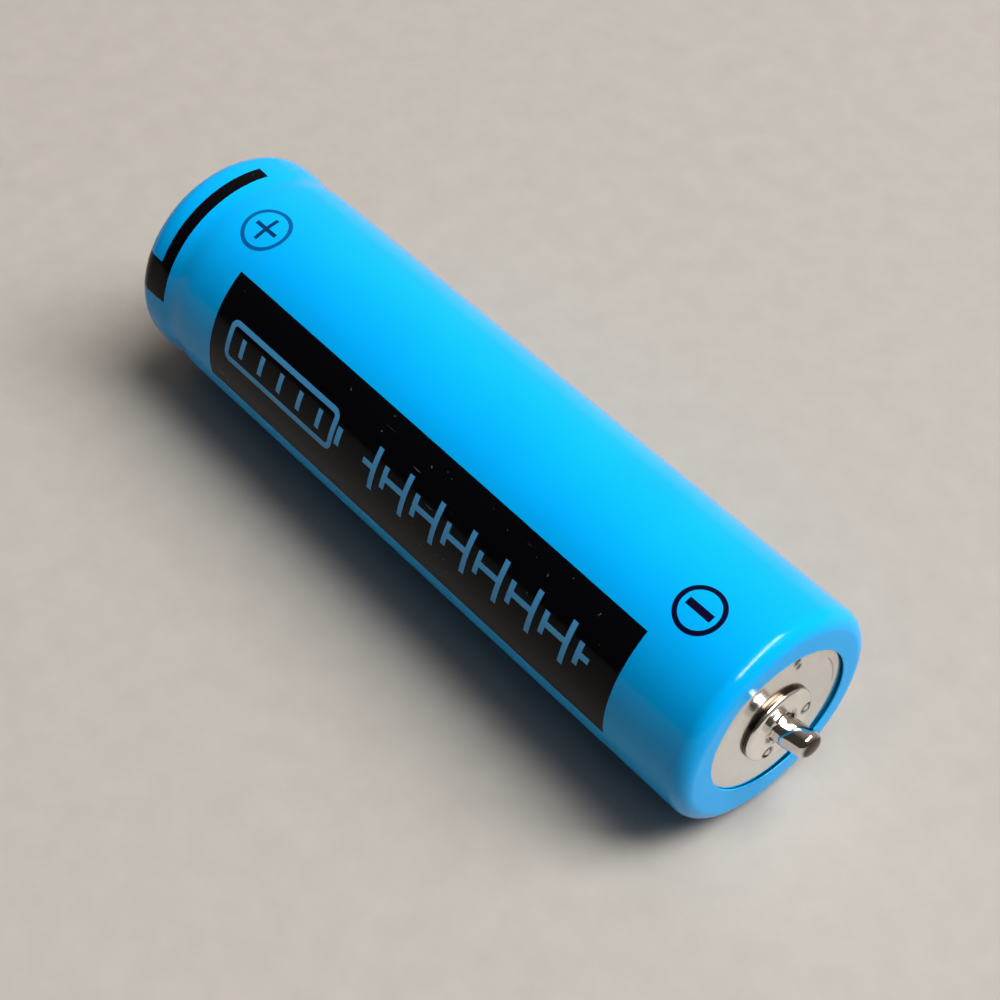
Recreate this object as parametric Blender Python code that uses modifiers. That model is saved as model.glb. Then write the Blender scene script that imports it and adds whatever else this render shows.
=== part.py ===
"""A sleeved cylindrical lithium-ion cell (14500 size) with a welded contact pin on each end.

The cell lies along +X: the positive end faces -X, the negative end faces +X, and the origin is
its centre. Everything turned is drawn upright first, with "height" along the cell's axis growing
towards the negative end, and one empty, cell_axis, lays the whole cell down on its side.
"""
import math

import bmesh
import bpy
from mathutils import Vector

MM = 0.001

# Driving dimensions: the outside of the cell
SLEEVE_LENGTH = 49.8 * MM
SLEEVE_RADIUS = 7.1 * MM
SLEEVE_WALL = 0.10 * MM
SLEEVE_CORNER = 1.0 * MM
SLEEVE_LIP = 2.1 * MM
SLEEVE_DIP_DEPTH = 0.12 * MM

# The steel can
CAN_WALL = 0.20 * MM
CRIMP_LIP = 1.6 * MM
BEAD_DEPTH = 0.60 * MM
BEAD_HALF_WIDTH = 0.70 * MM

# The closure at the positive end, from the outside in. CID is the current interrupt device
WASHER_THICKNESS = 0.20 * MM
WASHER_SHOWS = 0.8 * MM
GASKET_THICKNESS = 0.40 * MM
GASKET_SHOWS = 0.3 * MM
CAP_THICKNESS = 0.30 * MM
CAP_FLANGE_SHOWS = 0.8 * MM
CAP_SLOPE = 0.7 * MM
CAP_VENT_RADIUS = 0.22 * MM
CAP_VENT_COUNT = 4
PTC_THICKNESS = 0.35 * MM
PTC_WIDTH = 2.4 * MM
VENT_DISC_THICKNESS = 0.20 * MM
VENT_RIM = 2.5 * MM
VENT_CENTRE_RADIUS = 1.1 * MM
VENT_DISH_DEPTH = 0.75 * MM
CID_RING_THICKNESS = 0.30 * MM
CID_RING_WIDTH = 1.7 * MM
CID_PLATE_THICKNESS = 0.30 * MM
CID_HOLE_RADIUS = 0.5 * MM
CID_HOLE_COUNT = 6

# The wound roll
CORE_RADIUS = 1.5 * MM
CATHODE_THICKNESS = 0.13 * MM
ANODE_THICKNESS = 0.15 * MM
SEPARATOR_THICKNESS = 0.03 * MM
SEPARATOR_OVERHANG = 0.8 * MM
ROLL_END_GAP = 0.25 * MM
TAPE_THICKNESS = 0.06 * MM
CORE_TUBE_WALL = 0.20 * MM

# Tabs and insulators inside the can
TAB_THICKNESS = 0.10 * MM
TAB_FOLD = 0.35 * MM
TAB_REACH = 1.0 * MM
INSULATOR_THICKNESS = 0.20 * MM
INSULATOR_HOLE_RADIUS = 1.3 * MM

# The welded contacts, the same on both ends
PLATE_RADIUS = 2.45 * MM
PLATE_THICKNESS = 0.40 * MM
PLATE_EDGE = 0.06 * MM
CONTACT_PIN_RADIUS = 0.9 * MM
CONTACT_PIN_LENGTH = 2.6 * MM
CONTACT_PIN_TIP = 0.5 * MM
PIN_HEAD_RIM = 0.45 * MM
PIN_HEAD_THICKNESS = 0.15 * MM

# Clearances
FIT = 0.02 * MM
WIND_FIT = 0.015 * MM
ROLL_FIT = 0.10 * MM
SLOT_FIT = 0.08 * MM
CORE_FIT = 0.30 * MM
WASHER_FIT = 0.10 * MM

# How finely round shapes are cut
SEGMENTS = 32
CORNER_STEPS = 4
TURN_SEGMENTS = 24
HOLE_SEGMENTS = 12
MERGE = 1e-7
CUT_MARGIN = 1.0 * MM

# A wall set square to the flats of a turned shape is this much wider at its corners
FACET = math.cos(math.pi / SEGMENTS)

# Distances from the cell's middle. Those of the closure and the bead count towards the positive end
HALF_LENGTH = SLEEVE_LENGTH / 2
SLEEVE_INNER_END = HALF_LENGTH - SLEEVE_WALL
CAN_BOTTOM = SLEEVE_INNER_END - FIT
CAN_BOTTOM_INSIDE = CAN_BOTTOM - CAN_WALL
CAN_RADIUS = SLEEVE_RADIUS - SLEEVE_WALL - FIT
CAN_BORE = CAN_RADIUS - CAN_WALL / FACET
CAN_CORNER = SLEEVE_CORNER - SLEEVE_WALL - FIT

# Radii round the mouth at the positive end, each set back from its neighbour's
SLEEVE_MOUTH_RADIUS = SLEEVE_RADIUS - SLEEVE_LIP
WASHER_RADIUS = SLEEVE_RADIUS - SLEEVE_CORNER - WASHER_FIT
WASHER_HOLE_RADIUS = SLEEVE_MOUTH_RADIUS - WASHER_SHOWS
CRIMP_LIP_RADIUS = CAN_RADIUS - CRIMP_LIP
GASKET_LIP_RADIUS = CRIMP_LIP_RADIUS - GASKET_SHOWS
CAP_FOOT_RADIUS = GASKET_LIP_RADIUS - CAP_FLANGE_SHOWS
CAP_TOP_RADIUS = CAP_FOOT_RADIUS - CAP_SLOPE
GASKET_RADIUS = CAN_BORE - FIT
STACK_RADIUS = GASKET_RADIUS - GASKET_THICKNESS - FIT

WASHER_TOP = SLEEVE_INNER_END - FIT
CRIMP_TOP = WASHER_TOP - WASHER_THICKNESS - FIT
GASKET_TOP = CRIMP_TOP - CAN_WALL - FIT
CAP_FLANGE_TOP = GASKET_TOP - GASKET_THICKNESS - FIT
CAP_TOP = SLEEVE_INNER_END - FIT
PTC_TOP = CAP_FLANGE_TOP - CAP_THICKNESS - FIT
VENT_TOP = PTC_TOP - PTC_THICKNESS - FIT
CID_RING_TOP = VENT_TOP - VENT_DISC_THICKNESS - FIT
CID_PLATE_TOP = CID_RING_TOP - CID_RING_THICKNESS - FIT
CID_PLATE_UNDER = CID_PLATE_TOP - CID_PLATE_THICKNESS
GASKET_FOOT = CID_PLATE_UNDER - FIT
GASKET_END = GASKET_FOOT - GASKET_THICKNESS
CID_FLOOR_TOP = VENT_TOP - VENT_DISC_THICKNESS - VENT_DISH_DEPTH - FIT

# The bead's sides lean, so inside the can they spread by this much more than they do outside
BEAD_FLOOR_HALF_WIDTH = BEAD_HALF_WIDTH / 3
BEAD_LEAN = math.atan2(BEAD_DEPTH, BEAD_HALF_WIDTH - BEAD_FLOOR_HALF_WIDTH)
BEAD_SPREAD = CAN_WALL * math.tan(BEAD_LEAN / 2)
BEAD_CENTRE = GASKET_END - FIT - BEAD_SPREAD - BEAD_HALF_WIDTH
BEAD_BOTTOM = BEAD_CENTRE - BEAD_HALF_WIDTH
POSITIVE_TAB_TOP = CID_FLOOR_TOP - CID_PLATE_THICKNESS - FIT
TOP_INSULATOR_TOP = BEAD_BOTTOM - BEAD_SPREAD - FIT
TOP_INSULATOR_UNDER = TOP_INSULATOR_TOP - INSULATOR_THICKNESS
ROLL_TOP = TOP_INSULATOR_UNDER - ROLL_END_GAP

NEGATIVE_TAB_UNDER = CAN_BOTTOM_INSIDE - FIT
BOTTOM_INSULATOR_UNDER = NEGATIVE_TAB_UNDER - TAB_THICKNESS - 2 * FIT
BOTTOM_INSULATOR_TOP = BOTTOM_INSULATOR_UNDER - INSULATOR_THICKNESS
ROLL_BOTTOM = BOTTOM_INSULATOR_TOP - ROLL_END_GAP

# The winding: radii of the four sheets' middles on the first turn, and the growth of each turn
ROLL_RADIUS = CAN_BORE - ROLL_FIT - TAPE_THICKNESS - WIND_FIT
INNER_SEPARATOR_START = CORE_RADIUS + SEPARATOR_THICKNESS / 2
ANODE_START = INNER_SEPARATOR_START + SEPARATOR_THICKNESS / 2 + WIND_FIT + ANODE_THICKNESS / 2
OUTER_SEPARATOR_START = ANODE_START + ANODE_THICKNESS / 2 + WIND_FIT + SEPARATOR_THICKNESS / 2
CATHODE_START = OUTER_SEPARATOR_START + SEPARATOR_THICKNESS / 2 + WIND_FIT + CATHODE_THICKNESS / 2
PITCH = CATHODE_START + CATHODE_THICKNESS / 2 + WIND_FIT - CORE_RADIUS
WOUND_STEPS = int((ROLL_RADIUS - OUTER_SEPARATOR_START - SEPARATOR_THICKNESS / 2) / PITCH * TURN_SEGMENTS)
CATHODE_STEPS = WOUND_STEPS - TURN_SEGMENTS - 2
ANODE_STEPS = WOUND_STEPS - 2
TAPE_STEPS = TURN_SEGMENTS - 3
CORE_TUBE_RADIUS = CORE_RADIUS - CORE_FIT

# Each tab leaves its sheet halfway along it
TAB_SEGMENTS = 3
CATHODE_TAB_STEP = CATHODE_STEPS // 2
ANODE_TAB_STEP = ANODE_STEPS // 2

STEEL = ((0.62, 0.60, 0.56, 1.0), 0.25, 1.0)
NICKEL = ((0.74, 0.71, 0.66, 1.0), 0.15, 1.0)
ALUMINIUM = ((0.78, 0.79, 0.80, 1.0), 0.3, 1.0)
SLEEVE_BLUE = ((0.01, 0.55, 0.95, 1.0), 0.25, 0.0)
FIBRE_WHITE = ((0.86, 0.85, 0.80, 1.0), 0.8, 0.0)
NATURAL_PLASTIC = ((0.80, 0.82, 0.80, 1.0), 0.5, 0.0)
CARBON_BLACK = ((0.05, 0.05, 0.06, 1.0), 0.6, 0.0)
CATHODE_BLACK = ((0.06, 0.06, 0.07, 1.0), 0.7, 0.0)
ANODE_GREY = ((0.20, 0.13, 0.09, 1.0), 0.6, 0.3)
SEPARATOR_WHITE = ((0.92, 0.93, 0.94, 1.0), 0.5, 0.0)
TAPE_AMBER = ((0.72, 0.38, 0.05, 1.0), 0.3, 0.0)


def clear_scene():
    for obj in list(bpy.data.objects):
        bpy.data.objects.remove(obj, do_unlink=True)


def new_collection(name):
    collection = bpy.data.collections.new(name)
    bpy.context.scene.collection.children.link(collection)
    return collection


def make_material(name, finish):
    """A Principled material from (colour, roughness, metallic)."""
    colour, roughness, metallic = finish
    material = bpy.data.materials.new(name)
    material.use_nodes = True
    shader = material.node_tree.nodes["Principled BSDF"]
    shader.inputs["Base Color"].default_value = colour
    shader.inputs["Roughness"].default_value = roughness
    shader.inputs["Metallic"].default_value = metallic
    return material


def polar(radius, angle, height):
    return Vector((radius * math.cos(angle), radius * math.sin(angle), height))


def arc(centre_radius, centre_height, radius, start_degrees, end_degrees, steps=CORNER_STEPS):
    """Points (radius, height) on a corner of a turned profile, both ends included."""
    points = []
    for step in range(steps + 1):
        angle = math.radians(start_degrees + (end_degrees - start_degrees) * step / steps)
        points.append((centre_radius + radius * math.cos(angle), centre_height + radius * math.sin(angle)))
    return points


def flipped(profile):
    """The same profile at the other end of the cell, still running down its outer side."""
    return [(radius, -height) for radius, height in reversed(profile)]


def place(name, mesh, finish):
    """Puts a mesh in the cell as a named sub-part, turned half a step so that a flat faces down."""
    obj = bpy.data.objects.new(name, mesh)
    parts.objects.link(obj)
    obj.parent = cell_axis
    obj.rotation_euler.z = math.pi / SEGMENTS
    mesh.materials.append(make_material(name + "_finish", finish))
    return obj


def smooth(obj, degrees=30):
    obj.data.shade_smooth()
    obj.data.set_sharp_from_angle(angle=math.radians(degrees))


def turned(name, profile, finish, wall=None):
    """A turned piece: a closed profile, or with a wall the open outline of a shell."""
    mesh = bpy.data.meshes.new(name)
    count = len(profile)
    edges = [(i, i + 1) for i in range(count - 1)]
    on_axis = profile[0][0] == 0 and profile[-1][0] == 0
    if wall is None and not on_axis:
        edges.append((count - 1, 0))
    mesh.from_pydata([(radius, 0, height) for radius, height in profile], edges, [])
    obj = place(name, mesh, finish)
    screw = obj.modifiers.new("turn", "SCREW")
    screw.axis = "Z"
    screw.steps = SEGMENTS
    screw.render_steps = SEGMENTS
    screw.use_merge_vertices = True
    screw.merge_threshold = MERGE
    if wall is not None:
        add_wall(obj, wall, -1)
    return obj


def add_wall(obj, wall, offset):
    solidify = obj.modifiers.new("wall", "SOLIDIFY")
    solidify.thickness = wall
    solidify.offset = offset
    solidify.use_even_offset = True
    return solidify


def ring(name, top, under, inner, outer, finish):
    """A plain washer between two heights."""
    profile = [(inner, top), (outer, top), (outer, under), (inner, under)]
    return turned(name, profile, finish)


def cutter(name, mesh):
    obj = bpy.data.objects.new(name, mesh)
    cutters.objects.link(obj)
    obj.parent = cell_axis
    obj.hide_render = True
    obj.display_type = "WIRE"
    return obj


def cut(obj, tool):
    boolean = obj.modifiers.new("cut_" + tool.name, "BOOLEAN")
    boolean.operation = "DIFFERENCE"
    boolean.solver = "EXACT"
    boolean.object = tool


def round_cutter(name, radius, length, place_at, tilt=0.0, turn=0.0):
    """A drill of the given radius, centred on place_at; tilt leans it from the axis, turn spins it round."""
    mesh = bpy.data.meshes.new(name)
    drill = bmesh.new()
    bmesh.ops.create_cone(
        drill,
        cap_ends=True,
        segments=HOLE_SEGMENTS,
        radius1=radius,
        radius2=radius,
        depth=length,
    )
    drill.to_mesh(mesh)
    drill.free()
    obj = cutter(name, mesh)
    obj.location = place_at
    obj.rotation_euler = (0, tilt, turn)
    return obj


def slot_cutter(name, size, place_at, turn):
    mesh = bpy.data.meshes.new(name)
    block = bmesh.new()
    bmesh.ops.create_cube(block, size=1.0)
    bmesh.ops.scale(block, vec=size, verts=block.verts)
    block.to_mesh(mesh)
    block.free()
    obj = cutter(name, mesh)
    obj.location = place_at
    obj.rotation_euler.z = turn
    return obj


def make_sleeve():
    """The shrink sleeve: a thin tube that rolls over both corners and dips a little over the bead."""
    corner_radius = SLEEVE_RADIUS - SLEEVE_CORNER
    corner_height = HALF_LENGTH - SLEEVE_CORNER
    negative_end = [(SLEEVE_MOUTH_RADIUS, HALF_LENGTH)]
    negative_end += arc(corner_radius, corner_height, SLEEVE_CORNER, 90, 0)
    dip = [
        (SLEEVE_RADIUS, -BEAD_CENTRE + BEAD_HALF_WIDTH),
        (SLEEVE_RADIUS - SLEEVE_DIP_DEPTH, -BEAD_CENTRE),
        (SLEEVE_RADIUS, -BEAD_CENTRE - BEAD_HALF_WIDTH),
    ]
    positive_end = arc(corner_radius, -corner_height, SLEEVE_CORNER, 0, -90)
    positive_end.append((SLEEVE_MOUTH_RADIUS, -HALF_LENGTH))
    sleeve = turned("shrink_sleeve", negative_end + dip + positive_end, SLEEVE_BLUE, wall=SLEEVE_WALL)
    smooth(sleeve)


def make_can():
    """The drawn can: closed at the negative end, beaded and crimped inwards at the positive end."""
    corner_radius = CAN_RADIUS - CAN_CORNER
    corner_height = CAN_BOTTOM - CAN_CORNER
    bottom = [(0, CAN_BOTTOM)]
    bottom += arc(corner_radius, corner_height, CAN_CORNER, 90, 0)
    bead = [
        (CAN_RADIUS, -BEAD_CENTRE + BEAD_HALF_WIDTH),
        (CAN_RADIUS - BEAD_DEPTH, -BEAD_CENTRE + BEAD_FLOOR_HALF_WIDTH),
        (CAN_RADIUS - BEAD_DEPTH, -BEAD_CENTRE - BEAD_FLOOR_HALF_WIDTH),
        (CAN_RADIUS, -BEAD_CENTRE - BEAD_HALF_WIDTH),
    ]
    crimp = arc(corner_radius, -CRIMP_TOP + CAN_CORNER, CAN_CORNER, 0, -90)
    crimp.append((CRIMP_LIP_RADIUS, -CRIMP_TOP))
    can = turned("steel_can", bottom + bead + crimp, STEEL, wall=CAN_WALL)
    smooth(can)


def make_closure():
    """Everything the crimp holds at the positive end, from the outside in."""
    ring("insulating_washer", -WASHER_TOP + WASHER_THICKNESS, -WASHER_TOP, WASHER_HOLE_RADIUS, WASHER_RADIUS,
         FIBRE_WHITE)
    make_gasket()
    make_cap()
    ring("ptc_washer", -PTC_TOP + PTC_THICKNESS, -PTC_TOP, STACK_RADIUS - PTC_WIDTH, STACK_RADIUS,
         CARBON_BLACK)
    make_burst_disc()
    ring("cid_insulating_ring", -CID_RING_TOP + CID_RING_THICKNESS, -CID_RING_TOP,
         STACK_RADIUS - CID_RING_WIDTH, STACK_RADIUS, NATURAL_PLASTIC)
    make_cid_plate()


def make_gasket():
    """The crimp gasket: a cup-shaped ring round the stack, with a lip above it and a foot below."""
    corner = CAN_CORNER - CAN_WALL - FIT
    profile = [
        (GASKET_LIP_RADIUS, -GASKET_FOOT + GASKET_THICKNESS),
        (GASKET_RADIUS, -GASKET_FOOT + GASKET_THICKNESS),
    ]
    profile += arc(GASKET_RADIUS - corner, -GASKET_TOP + corner, corner, 0, -90)
    profile += [
        (GASKET_LIP_RADIUS, -GASKET_TOP),
        (GASKET_LIP_RADIUS, -GASKET_TOP + GASKET_THICKNESS),
        (STACK_RADIUS + FIT, -GASKET_TOP + GASKET_THICKNESS),
        (STACK_RADIUS + FIT, -GASKET_FOOT),
        (GASKET_LIP_RADIUS, -GASKET_FOOT),
    ]
    gasket = turned("crimp_gasket", profile, NATURAL_PLASTIC)
    smooth(gasket)


def make_cap():
    """The positive cap: a flange under the crimp, a raised flat top, and vent holes in its side."""
    cap = turned(
        "positive_cap",
        [
            (STACK_RADIUS, -CAP_FLANGE_TOP + CAP_THICKNESS),
            (STACK_RADIUS, -CAP_FLANGE_TOP),
            (CAP_FOOT_RADIUS, -CAP_FLANGE_TOP),
            (CAP_TOP_RADIUS, -CAP_TOP),
            (0, -CAP_TOP),
            (0, -CAP_TOP + CAP_THICKNESS),
            (CAP_TOP_RADIUS - CAP_THICKNESS / 2, -CAP_TOP + CAP_THICKNESS),
            (CAP_FOOT_RADIUS - CAP_THICKNESS / 2, -CAP_FLANGE_TOP + CAP_THICKNESS),
        ],
        NICKEL,
    )
    side_radius = (CAP_FOOT_RADIUS + CAP_TOP_RADIUS - CAP_THICKNESS / 2) / 2
    side_height = -(CAP_TOP + CAP_FLANGE_TOP) / 2 + CAP_THICKNESS / 2
    for index in range(CAP_VENT_COUNT):
        angle = 2 * math.pi * (index + 0.5) / CAP_VENT_COUNT
        tool = round_cutter(
            f"cap_vent_drill_{index + 1}",
            CAP_VENT_RADIUS,
            CUT_MARGIN,
            polar(side_radius, angle, side_height),
            tilt=math.radians(90),
            turn=angle,
        )
        cut(cap, tool)


def dished_profile(top, thickness, rim_radius, centre_radius, depth):
    """A clamped disc whose centre is sunk by depth, between a flat rim and a flat middle."""
    under = -top + thickness
    return [
        (0, under + depth),
        (centre_radius, under + depth),
        (rim_radius, under),
        (STACK_RADIUS, under),
        (STACK_RADIUS, -top),
        (rim_radius, -top),
        (centre_radius, -top + depth),
        (0, -top + depth),
    ]


def make_burst_disc():
    """The burst disc: a thin plate whose centre dishes in to touch the contact plate below it."""
    rim_radius = STACK_RADIUS - VENT_RIM
    profile = dished_profile(VENT_TOP, VENT_DISC_THICKNESS, rim_radius, VENT_CENTRE_RADIUS, VENT_DISH_DEPTH)
    turned("burst_disc", profile, ALUMINIUM)


def make_cid_plate():
    """The perforated contact plate under the burst disc, which the cathode's tab is welded to."""
    sunk = CID_PLATE_TOP - CID_FLOOR_TOP
    rim_radius = STACK_RADIUS - CID_RING_WIDTH - SLOT_FIT
    floor_radius = rim_radius - sunk
    profile = dished_profile(CID_PLATE_TOP, CID_PLATE_THICKNESS, rim_radius, floor_radius, sunk)
    plate = turned("cid_contact_plate", profile, ALUMINIUM)
    hole_circle = (VENT_CENTRE_RADIUS + floor_radius) / 2
    for index in range(CID_HOLE_COUNT):
        angle = 2 * math.pi * index / CID_HOLE_COUNT
        tool = round_cutter(
            f"cid_drill_{index + 1}",
            CID_HOLE_RADIUS,
            CUT_MARGIN,
            polar(hole_circle, angle, -CID_FLOOR_TOP + CID_PLATE_THICKNESS / 2),
        )
        cut(plate, tool)


def wound_radius(start, step):
    return start + PITCH * step / TURN_SEGMENTS


def wound_angle(step):
    return 2 * math.pi * step / TURN_SEGMENTS


def wound_sheet(name, start, steps, top, bottom, thickness, finish, first_step=0):
    """One sheet of the roll: a spiral surface between two heights, given its thickness."""
    mesh = bpy.data.meshes.new(name)
    points = []
    faces = []
    for step in range(first_step, steps + 1):
        radius = wound_radius(start, step)
        points.append(polar(radius, wound_angle(step), bottom))
        points.append(polar(radius, wound_angle(step), top))
    for index in range(steps - first_step):
        low = 2 * index
        faces.append((low, low + 2, low + 3, low + 1))
    mesh.from_pydata(points, [], faces)
    sheet = place(name, mesh, finish)
    add_wall(sheet, thickness, 0)
    smooth(sheet)
    return sheet


def make_roll():
    """The wound electrodes with a separator on each side of the anode, the end tape and the core tube."""
    electrode_top = -ROLL_TOP + SEPARATOR_OVERHANG
    electrode_bottom = ROLL_BOTTOM - SEPARATOR_OVERHANG
    wound_sheet("inner_separator", INNER_SEPARATOR_START, WOUND_STEPS, ROLL_BOTTOM, -ROLL_TOP,
                SEPARATOR_THICKNESS, SEPARATOR_WHITE)
    wound_sheet("anode_sheet", ANODE_START, ANODE_STEPS, electrode_bottom, electrode_top,
                ANODE_THICKNESS, ANODE_GREY)
    wound_sheet("outer_separator", OUTER_SEPARATOR_START, WOUND_STEPS, ROLL_BOTTOM, -ROLL_TOP,
                SEPARATOR_THICKNESS, SEPARATOR_WHITE)
    wound_sheet("cathode_sheet", CATHODE_START, CATHODE_STEPS, electrode_bottom, electrode_top,
                CATHODE_THICKNESS, CATHODE_BLACK)
    tape_start = OUTER_SEPARATOR_START + (SEPARATOR_THICKNESS + TAPE_THICKNESS) / 2 + WIND_FIT
    wound_sheet("roll_end_tape", tape_start, WOUND_STEPS - 1, ROLL_BOTTOM, -ROLL_TOP,
                TAPE_THICKNESS, TAPE_AMBER, first_step=WOUND_STEPS - 1 - TAPE_STEPS)
    core_outline = [(CORE_TUBE_RADIUS, ROLL_BOTTOM), (CORE_TUBE_RADIUS, -ROLL_TOP)]
    smooth(turned("core_tube", core_outline, STEEL, wall=CORE_TUBE_WALL))


def tab_frame(start, first_step):
    """The tab's middle angle, and each of its columns as (across, outwards) from the cell's axis."""
    steps = range(first_step, first_step + TAB_SEGMENTS + 1)
    middle = wound_angle(first_step + TAB_SEGMENTS / 2)
    columns = []
    for step in steps:
        radius = wound_radius(start, step)
        lean = wound_angle(step) - middle
        columns.append((radius * math.sin(lean), radius * math.cos(lean)))
    return middle, columns


def make_tab(name, start, first_step, sheet_edge, flat_height, finish):
    """A tab: it stands in its sheet's own layer, leaves the roll, and folds in across the axis."""
    middle, columns = tab_frame(start, first_step)
    away = 1 if flat_height > sheet_edge else -1
    nearest = min(outwards for _, outwards in columns)
    rows = [
        [(across, outwards, sheet_edge + away * FIT) for across, outwards in columns],
        [(across, outwards, flat_height - away * TAB_FOLD) for across, outwards in columns],
        [(across, nearest - TAB_FOLD, flat_height) for across, _ in columns],
        [(across, -TAB_REACH, flat_height) for across, _ in columns],
    ]
    outward_way = Vector((math.cos(middle), math.sin(middle), 0))
    across_way = Vector((-math.sin(middle), math.cos(middle), 0))
    points = []
    for row in rows:
        for across, outwards, height in row:
            points.append(across_way * across + outward_way * outwards + Vector((0, 0, height)))
    width = len(columns)
    faces = []
    for row in range(len(rows) - 1):
        for column in range(width - 1):
            low = row * width + column
            corners = (low, low + 1, low + width + 1, low + width)
            faces.append(corners if away > 0 else corners[::-1])
    mesh = bpy.data.meshes.new(name)
    mesh.from_pydata(points, [], faces)
    tab = place(name, mesh, finish)
    add_wall(tab, TAB_THICKNESS, 0)
    smooth(tab)


def make_insulator(name, top, radius, start, first_step):
    """A disc between the roll and the can's end, with a hole at its centre and a slot for the tab."""
    disc = ring(name, top, top - INSULATOR_THICKNESS, INSULATOR_HOLE_RADIUS, radius, FIBRE_WHITE)
    middle, columns = tab_frame(start, first_step)
    half_width = max(abs(across) for across, _ in columns)
    nearest = min(outwards for _, outwards in columns)
    furthest = max(outwards for _, outwards in columns)
    slack = TAB_THICKNESS + SLOT_FIT
    size = Vector((furthest - nearest + 2 * slack + TAB_FOLD, 2 * (half_width + slack), CUT_MARGIN))
    centre = (nearest - TAB_FOLD + furthest) / 2
    turn = middle + math.pi / SEGMENTS
    place_at = polar(centre, turn, top - INSULATOR_THICKNESS / 2)
    cut(disc, slot_cutter(name + "_slot", size, place_at, turn))


def contact_profiles():
    """Profiles of the contact plate and its pin, as they stand on the negative end."""
    seat = CAN_BOTTOM + FIT
    top = seat + PLATE_THICKNESS
    bore = CONTACT_PIN_RADIUS + FIT
    head = CONTACT_PIN_RADIUS + PIN_HEAD_RIM
    recess = head + FIT
    recess_top = seat + PIN_HEAD_THICKNESS + 2 * FIT
    plate = [
        (bore, top),
        (PLATE_RADIUS - PLATE_EDGE, top),
        (PLATE_RADIUS, top - PLATE_EDGE),
        (PLATE_RADIUS, seat),
        (recess, seat),
        (recess, recess_top),
        (bore, recess_top),
    ]
    tip = CAN_BOTTOM + CONTACT_PIN_LENGTH
    pin = [(0, tip)]
    pin += arc(CONTACT_PIN_RADIUS - CONTACT_PIN_TIP, tip - CONTACT_PIN_TIP, CONTACT_PIN_TIP, 90, 0)
    pin += [
        (CONTACT_PIN_RADIUS, seat + PIN_HEAD_THICKNESS),
        (head, seat + PIN_HEAD_THICKNESS),
        (head, seat),
        (0, seat),
    ]
    return plate, pin


def make_contacts():
    """A headed pin in a welded plate on each end."""
    plate, pin = contact_profiles()
    turned("negative_contact_plate", plate, NICKEL)
    smooth(turned("negative_contact_pin", pin, NICKEL))
    turned("positive_contact_plate", flipped(plate), NICKEL)
    smooth(turned("positive_contact_pin", flipped(pin), NICKEL))


clear_scene()
parts = new_collection("battery_cell")
cutters = new_collection("cutters")
cell_axis = bpy.data.objects.new("cell_axis", None)
parts.objects.link(cell_axis)
cell_axis.rotation_euler.y = math.radians(90)

make_sleeve()
make_can()
make_closure()
make_roll()
make_tab("positive_tab", CATHODE_START, CATHODE_TAB_STEP, -ROLL_TOP + SEPARATOR_OVERHANG,
         -POSITIVE_TAB_TOP + TAB_THICKNESS / 2, ALUMINIUM)
make_tab("negative_tab", ANODE_START, ANODE_TAB_STEP, ROLL_BOTTOM - SEPARATOR_OVERHANG,
         NEGATIVE_TAB_UNDER - TAB_THICKNESS / 2, NICKEL)
make_insulator("top_insulator", -TOP_INSULATOR_UNDER, CAN_BORE - ROLL_FIT, CATHODE_START, CATHODE_TAB_STEP)
make_insulator("bottom_insulator", BOTTOM_INSULATOR_UNDER, CAN_BORE - CAN_CORNER, ANODE_START, ANODE_TAB_STEP)
make_contacts()
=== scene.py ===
"""The looks of a sleeved 14500 lithium-ion cell with a welded contact pin on each end.

The cell lies along X with its negative end at +X. A place on the sleeve is given as (along, degrees):
along is x in millimetres and degrees turns round the cell from +Y (0) over the top (90) to -Y (180).
"""

import math

import bmesh
import bpy
import numpy as np
from mathutils import Matrix, Vector
from mathutils.geometry import delaunay_2d_cdt


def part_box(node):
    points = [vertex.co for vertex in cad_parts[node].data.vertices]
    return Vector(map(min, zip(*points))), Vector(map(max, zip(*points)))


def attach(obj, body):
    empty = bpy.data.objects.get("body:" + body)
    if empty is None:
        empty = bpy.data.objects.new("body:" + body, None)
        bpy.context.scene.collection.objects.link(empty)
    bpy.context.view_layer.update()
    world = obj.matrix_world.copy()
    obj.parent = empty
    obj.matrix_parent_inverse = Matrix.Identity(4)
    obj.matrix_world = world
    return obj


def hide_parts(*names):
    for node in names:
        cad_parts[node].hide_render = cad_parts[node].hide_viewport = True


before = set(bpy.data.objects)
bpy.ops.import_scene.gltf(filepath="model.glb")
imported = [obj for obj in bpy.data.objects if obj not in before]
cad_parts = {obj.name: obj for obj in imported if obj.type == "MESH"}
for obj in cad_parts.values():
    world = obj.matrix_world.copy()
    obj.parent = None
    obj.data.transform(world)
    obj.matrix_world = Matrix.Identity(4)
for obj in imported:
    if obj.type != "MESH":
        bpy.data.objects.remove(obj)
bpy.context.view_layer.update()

MM = 0.001

# The cell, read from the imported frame. Its CAD solids are prisms with a flat below, so that their
# lowest point is nearer the axis than their corners are
CAD_SEGMENTS = 32
FLAT_TO_ROUND = 1 / math.cos(math.pi / CAD_SEGMENTS)
HALF_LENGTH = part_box("shrink_sleeve")[1].x / MM
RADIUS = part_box("shrink_sleeve")[1].z * FLAT_TO_ROUND / MM
CAN_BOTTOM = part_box("steel_can")[1].x / MM
CAN_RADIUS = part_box("steel_can")[1].z * FLAT_TO_ROUND / MM
PLATE_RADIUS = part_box("negative_contact_plate")[1].z * FLAT_TO_ROUND / MM
PLATE_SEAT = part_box("negative_contact_plate")[0].x / MM
PLATE_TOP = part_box("negative_contact_plate")[1].x / MM
PIN_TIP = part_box("negative_contact_pin")[1].x / MM
WASHER_TOP = -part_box("insulating_washer")[0].x / MM
WASHER_UNDER = -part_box("insulating_washer")[1].x / MM
WASHER_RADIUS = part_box("insulating_washer")[1].z * FLAT_TO_ROUND / MM
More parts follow.
